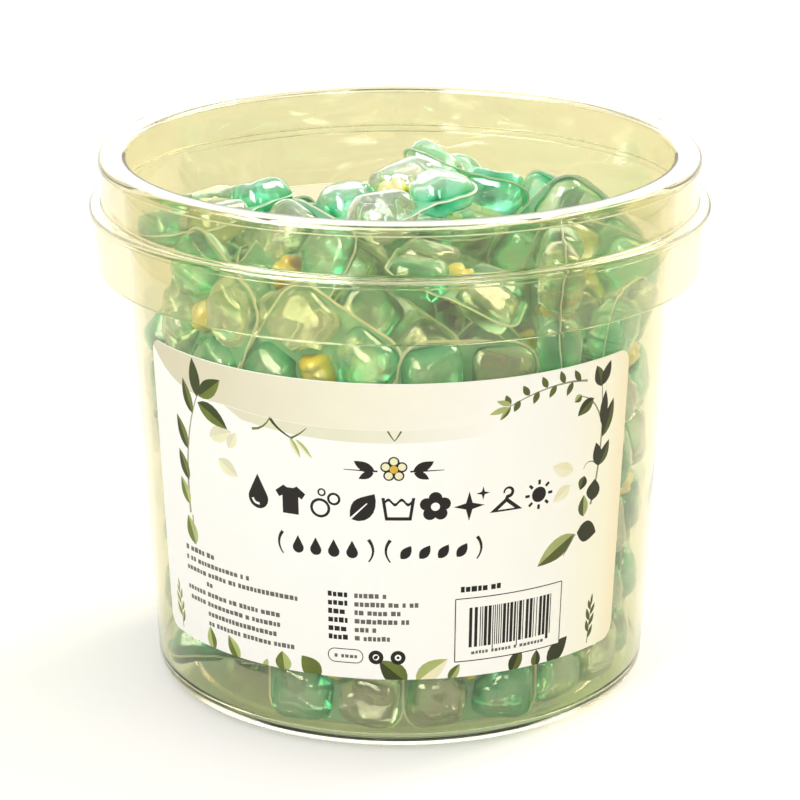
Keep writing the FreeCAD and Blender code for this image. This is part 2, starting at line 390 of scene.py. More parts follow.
def pods_in(mesh):
    """Middle, side and normal of each pod in a CAD mesh, in metres."""
    mesh.calc_loop_triangles()
    corners = numbers(mesh.vertices, "co", 3)[numbers(mesh.loop_triangles, "vertices", 3, np.int32)]
    cross = np.cross(corners[:, 1] - corners[:, 0], corners[:, 2] - corners[:, 0])
    large = np.linalg.norm(cross, axis=1) / 2 > plate_share * (plate * mm) ** 2
    found = []
    for face, normal in zip(corners[large], cross[large]):
        square = int(np.argmax([np.linalg.norm(face[k - 2] - face[k - 1]) for k in range(3)]))
        a, b = face[square - 2], face[square - 1]
        normal = normal / np.linalg.norm(normal)
        middle = (a + b) / 2 - normal * pod_round * mm
        if all(np.linalg.norm(middle - other) > same_pod for other, _, _ in found):
            found.append((middle, (a - face[square]) / np.linalg.norm(a - face[square]), normal))
    return found


pods = [pod for name in pod_nodes for pod in pods_in(frame["nodes"][name].data)]
pods.sort(key=lambda pod: pod[0][2])
print(len(pods), "pods, with middles from", *(round(pods[k][0][2] / mm, 1) for k in (0, -1)), "mm up")

# %% [markdown]
# ## One pod
#
# A pod is two sheets of film sealed together round five chambers: four pillows in a pinwheel
# and a small one in the middle, filled with lumps of gold gel. Seen from above it is a flat
# sheet with holes and a dome over each hole, so it is made that way: the chambers' outlines
# first, a dome of rings over each, and between them the sealed film. The lower half has the same
# outlines. A narrow wall round each hole joins the two sheets, so the film is closed, and each
# chamber is a closed pillow that sits in its hole. Four pods with other seeds keep the heap from
# looking copied.

# %% Outlines of the film and the chambers, in millimetres
edge_width, seam_gap, flat_trim = 0.6, 0.2, 0.2
pillow_out, pillow_reach, squareness, middle_room, step_back = 9.2, 8.25, 5, 6.1, 0.05
pinwheel, pinwheel_play = 0.11, 0.03
gold_radius, gold_arms, gold_stretch = 4.95, 0.5, 0.3


def unit(angle):
    """A step of length 1 in a direction."""
    return Vector((math.cos(angle), math.sin(angle)))


def past_edge(point, inset):
    """How far a point lies outside the pod's rounded square, drawn in by an inset."""
    flat = pod_half - pod_round - flat_trim
    out = Vector((max(abs(point.x) - flat, 0), max(abs(point.y) - flat, 0)))
    return out.length - (pod_round - inset)


def film_outline(inset, count=72):
    """The pod's rounded square, counted from the middle of one side."""
    points = []
    for k in range(count):
        angle = math.tau * (k + 0.5) / count
        way = unit(angle)
        low, high = 0.0, 2 * pod_half
        for _ in range(40):
            middle = (low + high) / 2
            low, high = (middle, high) if past_edge(way * middle, inset) < 0 else (low, middle)
        points.append(way * low)
    return points


def chamber_outline(k, rng, count=32):
    """One of the four pillows, cut back round the middle chamber. Gives its centre and outline."""
    centre = Matrix.Rotation(math.tau * (k + 0.5) / 4, 2) @ (Vector((pillow_out, 0)) * math.sqrt(2))
    lean = pinwheel + rng.uniform(-pinwheel_play, pinwheel_play)
    waves = [(rng.uniform(0, math.tau), rng.uniform(0.0, 0.03)) for _ in range(3)]
    points = []
    for i in range(count):
        angle = math.tau * i / count
        turned = angle - lean
        reach = pillow_reach / (abs(math.cos(turned)) ** squareness
                                + abs(math.sin(turned)) ** squareness) ** (1 / squareness)
        reach *= 1 - sum(size * (1 + math.sin((n + 2) * angle + phase)) / 2
                         for n, (phase, size) in enumerate(waves))
        way = unit(angle)
        while ((centre + way * reach).length < middle_room
               or past_edge(centre + way * reach, edge_width + seam_gap) > 0):
            reach -= step_back
        points.append(centre + way * reach)
    return centre, points


def middle_outline(rng, count=28):
    """The gold chamber, which reaches a little way between the pillows."""
    turn = rng.uniform(0, math.tau)
    return Vector((0, 0)), [
        unit(a) * (gold_radius + gold_arms * math.cos(4 * a) + gold_stretch * math.cos(2 * a - turn))
        for a in (math.tau * i / count for i in range(count))]


print("the film's outline has", len(film_outline(0)), "points")

# %% Domes over the outlines
film_region, edge_region, green_region, cream_region, gold_region = range(5)
edge_z, film_z = 0.10, 0.17
pillow_heights, pillow_shape = (6.5, 7.2), (3.6, 0.62)
gold_height, gold_shape, gold_rings = 4.4, (2.4, 0.5), 7
first_ring = 0.985


def dome(shape, centre, outline, height, flatness, power, region, bumps, rings=8):
    """Rings of vertices from an outline up to a pole, added to lists of places, faces and rise, from which
    the gels paint their shade and highlight.
    """
    places, faces, fill = shape
    previous = []
    for r in range(rings + 1):
        share = first_ring if r == 1 else math.cos(math.pi / 2 * r / rings)
        rise = height * (1 - share ** flatness) ** power
        row = []
        for point in outline if r < rings else outline[:1]:
            at = centre + (point - centre) * (share if r < rings else 0)
            row.append(len(places))
            places.append(Vector((at.x, at.y, rise + bumps(at, rise))))
            # How far up the dome the point lies. From this the gels paint shade at the seam and a highlight
            # at the crown.
            fill[len(places) - 1] = rise / height
        if r == rings:
            row = row * len(outline)
        faces += [(face, region) for face in band(previous, row)]
        previous = row


def lumps(rng):
    """The gold gel's beads: a bump for each of them under the film."""
    count, spread, sizes, lift, sink, foot = 7, 3.2, (1.3, 2.1), 0.75, 0.25, 1.5
    beads = [(Vector((rng.uniform(-spread, spread), rng.uniform(-spread, spread))), rng.uniform(*sizes))
             for _ in range(count)]

    def bumps(at, rise):
        top = max(max(0.0, 1 - ((at - bead).length / size) ** 2) * size for bead, size in beads)
        return lift * top * min(1.0, rise / foot) - sink * min(rise, foot)
    return bumps


def dents(rng, side, centre):
    """Broad, shallow dents in a full pillow, and two flats where its neighbours press on it."""
    shift = Vector((rng.uniform(0, 99), rng.uniform(0, 99), side * 7.0))
    broad, depth, usual, press, soft_start = 0.16, 0.16, 0.25, 0.85, 0.6
    slopes, levels, flats = (0.15, 0.45), (4.9, 6.4), []
    for _ in range(2):
        slope = unit(rng.uniform(0, math.tau)) * rng.uniform(*slopes)
        flats.append((slope, rng.uniform(*levels)))

    def bumps(at, rise):
        high = rise + (noise.noise(Vector((at.x, at.y, 0)) * broad + shift) - usual) * depth * rise
        for slope, level in flats:
            over = high - level + slope.dot(at - centre)
            if over > -soft_start:
                pressed = press * (over + soft_start) ** 2 / (4 * soft_start)
                high -= pressed if over < soft_start else press * over
        return high - rise
    return bumps


print("regions of a pod are numbered up to", gold_region)


# %% Half a pod
def add_loop(points, loops, outline):
    """Adds an outline's points to a list, and the loop that they make to another."""
    loops.append(list(range(len(points), len(points) + len(outline))))
    points += outline


def half_pod(seed, side):
    """Places, faces and painted-light rise of a pod's upper half. Both halves share their outlines."""
    rng = random.Random(seed)
    chambers = [chamber_outline(k, rng) for k in range(4)] + [middle_outline(rng)]
    outer, inner = film_outline(0.0), film_outline(edge_width)
    places = [Vector((p.x, p.y, edge_z)) for p in outer] + [Vector((p.x, p.y, film_z)) for p in inner]
    rim = list(range(len(places)))
    faces = [(face, edge_region) for face in band(rim[:len(outer)], rim[len(outer):])]
    points, loops = [], []
    for outline in [inner] + [outline for _, outline in chambers]:
        add_loop(points, loops, outline)
    flat, _, cut, _, _, origin = delaunay_2d_cdt(points, [], loops, 1, 1e-5)
    start, fill = len(places), {}
    places += [Vector((p.x, p.y, film_z)) for p in flat]
    faces += [(tuple(start + v for v in face), film_region)
              for face, owners in zip(cut, origin) if owners == [0]]
    rng = random.Random(seed * 10 + side)
    shape = places, faces, fill
    for (centre, outline), region in zip(chambers, (green_region, cream_region) * 2):
        height = rng.uniform(*pillow_heights)
        dome(shape, centre, outline, height, *pillow_shape, region, dents(rng, side, centre))
    dome(shape, *chambers[4], gold_height, *gold_shape, gold_region, lumps(rng), gold_rings)
    return *shape, outer


print("half a pod has", len(half_pod(1, 1)[0]), "points")

# %% A whole pod
corner_lift, curl_from, curl_over = 3.0, 12.0, 11.0
ripple_height, ripple_scale = 0.5, 0.25


def plan(vertex):
    """Where a vertex lies seen from above."""
    return round(vertex.co.x, 3), round(vertex.co.y, 3)


def pod_pattern(seed):
    """A whole pod as a mesh in metres, lying flat about the origin, with a region on each face."""
    body = bmesh.new()
    region = body.faces.layers.int.new("region")
    # Each point keeps its rise, from which the gels paint their seam shade and crown highlight.
    filled = body.verts.layers.float.new("fill")
    rng = random.Random(seed + 500)
    lift = [rng.uniform(-corner_lift, corner_lift) for _ in range(4)]
    ripple = Vector((rng.uniform(0, 99), rng.uniform(0, 99), 0))
    rims = []
    for side in (1, -1):
        places, faces, fill, outer = half_pod(seed, side)
        made = [body.verts.new((p.x, p.y, p.z * side)) for p in places]
        for v, share in fill.items():
            made[v][filled] = share
        for face, kind in faces:
            new = body.faces.new([made[v] for v in (face if side > 0 else face[::-1])])
            new[region] = kind
            new.smooth = True
        rims.append(made[:len(outer)])
    for corners in band(rims[1], rims[0]):
        body.faces.new(corners)[region] = edge_region
    bmesh.ops.remove_doubles(body, verts=body.verts[:], dist=1e-4)
    under = {plan(v): v for v in body.verts if v.is_boundary and v.co.z < 0}
    for edge in [e for e in body.edges if e.is_boundary and e.verts[0].co.z > 0]:
        a, b = edge.verts
        body.faces.new((a, b, under[plan(b)], under[plan(a)]))[region] = film_region
    print("pod", seed, "has", sum(edge.is_boundary for edge in body.edges), "open edges")
    bmesh.ops.recalc_face_normals(body, faces=body.faces[:])
    for edge in body.edges:
        if len({face[region] for face in edge.link_faces}) > 1:
            edge.smooth = False
    for vertex in body.verts:
        x, y, z = vertex.co
        bend = 0.0
        for high, (across, along) in zip(lift, ((1, 1), (-1, 1), (-1, -1), (1, -1))):
            outward = (x * across + y * along) / math.sqrt(2)
            bend += high * (max(0.0, outward - curl_from) / curl_over) ** 2
        waves = noise.noise(Vector((x, y, 0)) * ripple_scale + ripple)
        bend += ripple_height * waves * min(1.0, max(abs(x), abs(y)) / pod_half) ** 2
        drawn = math.sqrt(max(pod_round ** 2 - bend ** 2, 0.0)) / pod_round
        x, y = (flat + (c - flat) * drawn for c in (x, y) for flat in [max(min(c, plate / 2), -plate / 2)])
        vertex.co = (x * mm, y * mm, (z + bend) * mm)
    mesh = bpy.data.meshes.new("pod_pattern_%d" % seed)
    body.to_mesh(mesh)
    body.free()
    return mesh


patterns = bpy.data.collections.new("pod_patterns")
for seed in range(1, 5):
    pattern_mesh = pod_pattern(seed)
    patterns.objects.link(bpy.data.objects.new(pattern_mesh.name, pattern_mesh))
pattern_mesh.calc_loop_triangles()
print("one pod has", len(pattern_mesh.loop_triangles), "triangles, and there are", len(pods), "pods")

# %% [markdown]
# ## Film and gel
#
# The film is polyvinyl alcohol, a clear plastic that dissolves in water. Where it lies flat it
# nearly vanishes, and along the sealed edge it is thicker and catches the light as a pale line.
# Each gel is a clear, dyed liquid behind that film, glossy outside. Its colour has painted shade
# at the chamber's seam and a painted highlight towards its crown, and it is clouded a little, more
# in some pods than in others ("shade"). Deep in the heap it gets little light, so it is painted
# darker there, and the film beside it is too. At the top of the heap the gels are painted paler.

# %% Materials of the pods
cloudiness, darkening = 0.38, 0.45


def gel(name, stops, tint, through, seed):
    """A dyed gel under glossy film, with painted shade at its seam, a painted highlight at its crown and
    painted shade deep in the heap, and no two pods quite alike.
    """
    material, tree = new_material(name)
    place = add_node(tree, "ShaderNodeTexCoord").outputs["Object"]
    shade, fill, buried = (add_node(tree, "ShaderNodeAttribute", attribute_name=title).outputs["Fac"]
                           for title in ("shade", "fill", "buried"))
    cloud = add_node(tree, "ShaderNodeTexNoise", {"Vector": place, "Scale": 95.0 + seed, "Detail": 1.0})
    drift = add_node(tree, "ShaderNodeMapRange", {0: cloud, 1: 0.3, 2: 0.7, 3: -cloudiness, 4: cloudiness})
    # Painted light and shade: the rise runs the ramp from its dark seam colour to its pale crown colour.
    amount = add_node(tree, "ShaderNodeMath", {0: drift, 1: shade, 2: fill}, operation="MULTIPLY_ADD")
    # Painted shade: pods deep in the heap move towards the dark end of the ramp, and pods at its top towards
    # the pale end.
    deeper = add_node(tree, "ShaderNodeMath", {0: buried, 1: -darkening, 2: amount},
                      operation="MULTIPLY_ADD")
    dye = add_node(tree, "ShaderNodeValToRGB", {0: deeper}, stops=stops)
    skin = add_node(tree, "ShaderNodeTexNoise", {"Vector": place, "Scale": 190.0, "Detail": 1.0})
    slack = add_node(tree, "ShaderNodeBump", {"Strength": 0.35, "Distance": 0.8 * mm, "Height": skin})
    filled = add_node(tree, "ShaderNodeBsdfPrincipled",
                      {"Base Color": dye, "Roughness": 0.04, "IOR": 1.45, "Transmission Weight": through,
                       "Normal": slack, "Coat Weight": 0.8, "Coat Roughness": 0.02})
    add_node(tree, "ShaderNodeOutputMaterial", {"Surface": lamps_pass(tree, filled, tint)})
    return material


# In each ramp the first stop is the painted shade at the seam, and the last is the painted highlight at the
# crown.
gels = [gel(*kind) for kind in (
    ("green_gel", ((0, "#0b6038"), (0.25, "#38d89c"), (0.6, "#a2fedc"), (1, "#e4fff4")), "#92e8b8", 0.72, 0),
    ("cream_gel", ((0, "#3f8a50"), (0.25, "#d2facc"), (0.6, "#f4ffec"), (1, "#fffffc")), "#effce4", 0.80, 3),
    ("gold_gel", ((0, "#b98d10"), (0.22, "#f8de22"), (0.7, "#fff45c"), (1, "#fffcb4")), "#f2e07c", 0.10, 6))]


def film(name, colour, painted_shade_colour, share, rough):
    """Clear film: mostly see-through, more of a mirror where it is met at a slant. Deep in the heap its
    colour is painted darker.
    """
    material, tree = new_material(name)
    place = add_node(tree, "ShaderNodeTexCoord").outputs["Object"]
    buried = add_node(tree, "ShaderNodeAttribute", attribute_name="buried").outputs["Fac"]
    # Painted shade: deep in the heap the film's colour runs to the darker one.
    cast = add_node(tree, "ShaderNodeValToRGB", {0: buried}, stops=((0, colour), (1, painted_shade_colour)))
    crinkle = add_node(tree, "ShaderNodeTexNoise", {"Vector": place, "Scale": 420.0, "Detail": 1.0})
    creased = add_node(tree, "ShaderNodeBump", {"Strength": 0.3, "Distance": 0.5 * mm, "Height": crinkle})
    slant = add_node(tree, "ShaderNodeFresnel", {"IOR": 1.45, "Normal": creased})
    shown = add_node(tree, "ShaderNodeMath", {0: slant, 1: share}, operation="ADD", use_clamp=True)
    sheet = add_node(tree, "ShaderNodeBsdfPrincipled",
                     {"Base Color": cast, "Roughness": rough, "IOR": 1.45, "Normal": creased})
    clear = add_node(tree, "ShaderNodeBsdfTransparent", {"Color": linear("#fbfffa")})
    mixed = add_node(tree, "ShaderNodeMixShader", {0: shown, 1: clear, 2: sheet})
    add_node(tree, "ShaderNodeOutputMaterial", {"Surface": mixed})
    return material


flat_film = film("sealed_film", "#b8fade", "#46ac54", 0.34, 0.10)
film_edge = film("sealed_edge", "#fbffea", "#c8e8a8", 0.80, 0.15)
pod_materials = [flat_film, film_edge, *gels]
for pattern in patterns.objects:
    for material in pod_materials:
        pattern.data.materials.append(material)
print("materials:", [m.name for m in pod_materials])

# %% [markdown]
# ## Filling the tub
#
# The pods are the same thing many times over, which is what Geometry Nodes are for. A small
# mesh holds one vertex for each pod, with its turn, its shade and the painted shade for how deep
# in the heap it lies, and the tree puts one of the four patterns on each. A quarter turn and a
# flip leave a pod's outline as it was, so the seed picks them freely and the chambers don't all
# face one way.
#
# Soft pods fill the room they have. Each is drawn a little larger than its stiff CAD twin, and
# what would then reach into the wall or the floor is pressed flat against it.

# %% Pressed against the wall and the floor
pod_swell = 1.07
clearance, give = 0.2, 1.0


def eased(past):
    """How far a point that is past the start of the soft zone may still go, in millimetres."""
    return np.where(past > 0, give * (1 - np.exp(-np.maximum(past, 0) / give)), past)


def press_inside(mesh):
    """Moves what would lie in the tub's wall or floor back inside."""
    co = numbers(mesh.vertices, "co", 3) / mm
    low = floor_top + clearance + give
    co[:, 2] = low - eased(low - co[:, 2])
    corner = foot_round - wall
    into = np.clip(corner - (co[:, 2] - floor_top), 0, corner)
    room = outside(co[:, 2]) - wall - corner + np.sqrt(corner ** 2 - into ** 2) - clearance - give
    radius = np.hypot(co[:, 0], co[:, 1])
    inside = co[:, 2] < tub_height
    reach = np.where(inside, room + eased(radius - room), radius)
    co[:, :2] *= (reach / np.maximum(radius, 1e-6))[:, None]
    mesh.vertices.foreach_set("co", (co * mm).ravel())
    mesh.update()
    print(mesh.name, "pressed in by up to", round(float(np.max(radius - reach)), 2), "mm")


print("a swollen pod is", round(2 * pod_half * pod_swell, 1), "mm across")

# %% The tree that lays out pods
def pod_tree():
    """Instances of the patterns on points, made real, with a material for each region."""
    tree = bpy.data.node_groups.new("lay_out_pods", "GeometryNodeTree")
    for name, way, kind in (("Geometry", "INPUT", "Geometry"), ("Patterns", "INPUT", "Collection"),
                            ("Size", "INPUT", "Float"), ("Seed", "INPUT", "Int"),
                            ("Geometry", "OUTPUT", "Geometry")):
        tree.interface.new_socket(name, in_out=way, socket_type="NodeSocket" + kind)
    given = add_node(tree, "NodeGroupInput")
    choice = add_node(tree, "GeometryNodeCollectionInfo",
                      {"Collection": given.outputs["Patterns"], "Separate Children": True})
    pick = add_node(tree, "FunctionNodeRandomValue", {4: 0, 5: 1000, "Seed": given.outputs["Seed"]},
                    data_type="INT")
    turn = add_node(tree, "GeometryNodeInputNamedAttribute", {"Name": "turn"}, data_type="QUATERNION")
    laid = add_node(tree, "GeometryNodeInstanceOnPoints",
                    {"Points": given.outputs["Geometry"], "Instance": choice,
                     "Pick Instance": True, "Instance Index": pick.outputs[2],
                     "Rotation": turn, "Scale": given.outputs["Size"]})
    geometry = add_node(tree, "GeometryNodeRealizeInstances", {0: laid})
    region = add_node(tree, "GeometryNodeInputNamedAttribute", {"Name": "region"}, data_type="INT")
    for k, material in enumerate(pod_materials):
        same = add_node(tree, "FunctionNodeCompare", {2: region, 3: k}, data_type="INT",
                        operation="EQUAL")
        inputs = {0: geometry, "Selection": same, "Material": material}
        geometry = add_node(tree, "GeometryNodeSetMaterial", inputs)
    add_node(tree, "NodeGroupOutput", {0: geometry})
    return tree


lay_out = pod_tree()
print("the tree has", len(lay_out.nodes), "nodes")

# %% The pods in four layers
# Pods away from the wall and from the top of the heap get little light, so their colour is painted deeper.
# Gels at the top of the heap are painted paler.
light_reach, heap_top = 19.0, 132.0
least_shade, most_shade, best_lit = 0.5, 1.6, -0.5


def laid_out(name, group, tree, seed):
    """One piece with the given pods, as a plain mesh."""
    rng = random.Random(seed)
    points = bpy.data.meshes.new(name + "_points")
    points.from_pydata([pod[0] for pod in group], [], [])
    kinds = {"turn": "QUATERNION", "shade": "FLOAT", "buried": "FLOAT"}
    for title, kind in kinds.items():
        points.attributes.new(title, kind, "POINT")
    turns, shades, buried = (points.attributes[title].data for title in kinds)
    for k, (centre, side, normal) in enumerate(group):
        side, normal = Vector(side), Vector(normal)
        if rng.random() < 0.5:
            normal = -normal
        basis = Matrix((side, normal.cross(side), normal)).transposed()
        basis = basis @ Matrix.Rotation(math.pi / 2 * rng.randrange(4), 3, "Z")
        turns[k].value = basis.to_quaternion()
        shades[k].value = rng.uniform(least_shade, most_shade)
        x, y, z = (c / mm for c in centre)
        from_wall = (mouth_radius - math.hypot(x, y) - light_reach) / light_reach
        below = (heap_top - z) / light_reach
        inside = min(max(from_wall, 0), 1)
        # Painted shade up to 1 deep in the heap, and painted light below 0 at the heap's top.
        buried[k].value = inside * min(below, 1) if below > 0 else max(below, best_lit)
    holder = put_in(name + "_points", points)
    modifier = holder.modifiers.new("lay out", "NODES")
    modifier.node_group = tree
    socket = {item.name: item.identifier for item in tree.interface.items_tree if item.in_out == "INPUT"}
    modifier[socket["Patterns"]] = patterns
    modifier[socket["Size"]] = pod_swell
    modifier[socket["Seed"]] = seed
    holder.update_tag()
    shown = holder.evaluated_get(bpy.context.evaluated_depsgraph_get())
    mesh = bpy.data.meshes.new_from_object(shown)
    mesh.name = name
    press_inside(mesh)
    holder.modifiers.remove(modifier)
    bpy.data.objects.remove(holder)
    return put_in(name, mesh)


layers, first_seed = 4, 40
share = math.ceil(len(pods) / layers)
heap = [laid_out("pods_layer_%d" % (k + 1), pods[k * share:(k + 1) * share], lay_out, first_seed + k)
        for k in range(layers)]
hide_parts(*pod_nodes)
for piece in heap:
    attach(piece, "root")
    piece.data.calc_loop_triangles()
    print(piece.name, len(piece.data.loop_triangles), "triangles,", [m.name for m in piece.data.materials])

# %% [markdown]
# ## The label
#
# The label is a white film printed in a few inks and stuck round the front of the wall. Its
# design here is a plain one of common ornament: leaf sprigs down both sides, a row of wash-day
# pictures where a name would stand, rows of dashes for small print, and a block of bars.
#
# A print on a curved wall could be an image, or thin shapes laid on the film, but the first
# blurs close by and the second flicker. So the flat label is cut along the outline of every
# printed shape, each piece takes the ink of the top shape over it, and only then is the sheet
# wrapped on the tapered wall. Upright cuts every few millimetres let it follow the curve.

# %% The label's sheet and its list of printed shapes, in millimetres
label_low, label_high, label_width, label_corner = 22.5, 111.0, 157.0, 4.5
label_glue, label_film = 0.1, 0.15
across, up = label_width / 2, label_high - label_low
wrap_radius = outside((label_low + label_high) / 2)
inks = ["film", "wash", "shelf", "olive", "moss", "sage", "stem", "charcoal", "grey", "petal", "gold"]
printed = []


def ink(name, outline):
    """Adds a closed shape in an ink over what is already there. Its points run anticlockwise."""
    area = sum(a[0] * b[1] - b[0] * a[1] for a, b in zip(outline, outline[1:] + outline[:1])) / 2
    if abs(area) > 0.005:
        printed.append((inks.index(name), [tuple(p) for p in (outline if area > 0 else outline[::-1])]))


def arc(x, y, radius, start, end, steps):
    """Points on an arc, with its angles in degrees."""
    angles = (math.radians(start + (end - start) * k / steps) for k in range(steps + 1))
    return [(x + radius * math.cos(angle), y + radius * math.sin(angle)) for angle in angles]


def disc(x, y, radius, steps=16, start=0):
    """Points all round a middle."""
    return arc(x, y, radius, start, start + 360 - 360 / steps, steps - 1)


def block(x, y, wide, high, corner=0.0):
    """A rectangle from its lower left corner, with rounded corners if asked."""
    left, right, low, top = x + corner, x + wide - corner, y + corner, y + high - corner
    corners = ((right, low, -90), (right, top, 0), (left, top, 90), (left, low, 180))
    if corner == 0:
        return [(left, low), (right, low), (right, top), (left, top)]
    return [point for u, v, start in corners for point in arc(u, v, corner, start, start + 90, 4)]


def frame_line(x, y, wide, high, corner, line):
    """An outlined box: a block of ink with the film's white laid over its middle."""
    ink("charcoal", block(x, y, wide, high, corner))
    ink("film", block(x + line, y + line, wide - 2 * line, high - 2 * line, max(corner - line, 0.01)))


ink("film", block(-across, 0, label_width, up, label_corner))
print("label is", label_width, "mm round the wall and", up, "mm high, over",
      round(math.degrees(label_width / wrap_radius), 1), "degrees")

# %% Leaves and stems
def leaf(x, y, way, length, width, bend=0.0, tones="olive moss", steps=7):
    """A pointed leaf from its foot, in two halves of one or two tones that meet along the midrib."""
    dark, light = (tones.split() * 2)[:2]
    rib, left, right = [Vector((x, y))], [], []
    for k in range(1, steps + 1):
        s = k / steps
        along = unit(math.radians(way + bend * s))
        rib.append(rib[-1] + along * length / steps)
        over = Vector((-along.y, along.x)) * (1.18 * width / 2 * math.sin(math.pi * s ** 0.85) ** 0.9)
        left.append(rib[-1] + over)
        right.append(rib[-1] - over * 0.92)
    ink(dark, rib + left[-2::-1])
    ink(light, rib + right[-2::-1])


def leaves(*rows):
    """One leaf for each row."""
    for row in rows:
        leaf(*row)


def stem(points, width, name="stem"):
    """A thin line through points, thinner at its end."""
    left, right = [], []
    for k, point in enumerate(points):
        along = (points[min(k + 1, len(points) - 1)] - points[max(k - 1, 0)]).normalized()
        over = Vector((-along.y, along.x)) * (0.65 * width * (1 - 0.6 * k / (len(points) - 1)))
        left.append(point + over)
        right.append(point - over)
    ink(name, left + right[::-1])


def curve(start, knee, end, steps=8):
    """Points on a smooth bend from start to end, drawn towards knee."""
    a, b, c = Vector(start), Vector(knee), Vector(end)
    return [(1 - t) ** 2 * a + 2 * t * (1 - t) * b + t * t * c for t in (k / steps for k in range(steps + 1))]


def heading(start, end):
    """The direction from one point to another, in degrees."""
    return math.degrees(math.atan2(*(end - start).yx))


def twig(points, tones, rng, pairs=6, length=5.0, width=1.5, spread=34):
    """Leaves in turn on both sides of a bent stem, and one at its tip, smaller towards the tip."""
    stem(points, 0.35)
    for k in range(pairs):
        s = (k + 0.8) / (pairs + 0.6) * (len(points) - 1)
        i = min(int(s), len(points) - 2)
        foot = points[i].lerp(points[i + 1], s - i)
        side = 1 if k % 2 else -1
        size = (1 - 0.35 * k / pairs) * rng.uniform(0.85, 1.1)
        way = heading(points[i], points[i + 1]) + side * spread * rng.uniform(0.85, 1.15)
        leaf(*foot, way, length * size, width * size, -side * 18, tones)
    leaf(*points[-1], heading(points[-2], points[-1]), length * 0.75, width * 0.6, 0, tones)


print("a bend has", len(curve((0, 0), (1, 0), (1, 1))), "points")

# %% The band at the top and the sprig on the left
ink("wash", [(-78, 88.2), (-78, 86.5), *curve((-77.5, 86), (-66, 75.5), (-46, 76.8)),
             *curve((-44, 76.7), (-10, 73.6), (34, 76)), (34, 88.2)])
ink("shelf", [*curve((-46, 76.7), (-10, 73.5), (30, 75.9)), *curve((30, 72.5), (-8, 69.4), (-40, 73.6))])
for x, y, way, size in ((-52, 66, 20, 9), (-49, 60, -30, 8), (-45, 64, 60, 6), (57, 57, 160, 8),
                        (56, 53, 215, 7)):
    leaf(x, y, way, size, size * 0.5, 0, "shelf petal")
stem(curve((-62.5, 40), (-64, 62), (-56, 77.5)), 0.75)
leaves((-56.2, 76.5, 97, 11.5, 3.9, 0, "olive"), (-55.6, 77, 33, 11, 4.6, 8),
       (-56.2, 75, -18, 12.5, 4.6, -14), (-58.6, 71, 115, 10.5, 3.3, -8), (-61.8, 59.5, 112, 10.5, 3.5, 6),
       (-62.2, 50, 112, 9.5, 3.5, 6), (-62.6, 42.5, 112, 8.5, 3.5, 6, "moss sage"),
       (-61, 30.5, 104, 9, 4.4, 10, "moss sage"))
stem(curve((-61.6, 39.5), (-61.5, 34), (-61, 31)), 0.5)
stem(curve((-36.5, 71.6), (-32.5, 72), (-30.6, 76), 4), 0.6, "moss")
stem(curve((-30.6, 75.6), (-28.5, 72.5), (-24, 70.6), 5), 0.7, "olive")
stem(curve((-24.6, 70.8), (-22, 72), (-20, 74.2), 4), 0.5, "moss")
leaves((-25, 70.9, -62, 6.5, 1.6, 0, "sage petal"), (-23.2, 70.6, -48, 7, 1.4, 0, "sage petal"))
print(len(printed), "shapes after the left-hand sprig")

# %% The sprig on the right and the leaves along the lower edge
rng = random.Random(11)
stem(curve((60.5, 83), (48, 86), (34.5, 79.6), 10), 0.5)
for k in range(9):
    s = k / 8
    x, y = 58.0 - 22.5 * s, 83.4 + 1.1 * math.sin(math.pi * s) - 3.2 * s * s
    side = 1 if k % 2 else -1
    leaf(x, y, 180 + side * (52 + 5 * (k % 3)), 4.4 - 0.9 * s, 1.7, side * 10, "moss")
leaves((35, 79.8, 196, 5.6, 1.6, 0, "sage"), (35.6, 80, 232, 4.8, 1.5, 0, "moss sage"),
       (35.8, 80.4, 160, 4.6, 1.4, 0, "sage"))
stem(curve((64.5, 45), (69.5, 62), (66, 83.5), 12), 0.65)
stem(curve((66.9, 70), (63.5, 78.5), (57, 79), 6), 0.45)
stem(curve((66.2, 57), (62, 60), (60.8, 56.5), 4), 0.35)
leaves((66.2, 80, 104, 7, 3.4, 10), (66.4, 80.2, 58, 7.5, 3, 10, "olive"),
       (67.4, 68, 82, 10.5, 2.9, 6, "olive"), (67.8, 64.5, 62, 11.5, 3.6, 12),
       (63.4, 77.2, 205, 7.2, 3.4, 18, "moss olive"), (58.6, 79.2, 214, 3, 2.2, 0, "moss sage"),
       (67, 56, 98, 7.6, 3.4, 8, "olive"), (67.2, 56.2, 55, 7.8, 3.2, 10), (61.4, 54.4, 250, 4.2, 3),
       (65, 46, 78, 6.4, 5, 10, "olive"), (61.8, 42, 96, 6.6, 3.4, -8, "moss sage"))
stem(curve((58.8, 37.4), (56.5, 34), (54.8, 31.8), 4), 0.6)
leaves((58.4, 37.6, 203, 14.5, 5.4, 12, "moss sage"), (59.6, 37.6, -4, 8.2, 5.6, -16, "olive"))
for x, way, size, wide, tones in (
        (-55.5, 100, 7.5, 3.6, "sage moss"), (-45, 118, 8, 3.8, "moss sage"),
        (-36, 60, 3.4, 1.6, "sage"), (-29, 96, 6.6, 4.6, "moss sage"),
        (-17.8, 132, 8.4, 5.4, "moss"), (7.5, 138, 10.5, 5.8, "olive moss"),
        (10, 42, 11.5, 5.2, "sage petal"), (19.5, 58, 6, 2.6, "moss sage"),
        (38.5, 66, 8, 3.8, "olive moss"), (46.5, 82, 5.6, 2.8, "moss olive"),
        (51, 52, 10, 5, "olive")):
    leaf(x, -1, way, size, wide, rng.uniform(-14, 14), tones)
for side, foot, tones in ((-1, 71.0, "sage moss"), (1, 66.5, "moss")):
    twig(curve((side * foot, 1.5), (side * (foot + 0.5), 8), (side * (foot + 1), 13), 5), tones, rng)
print(len(printed), "shapes with all the leaves")

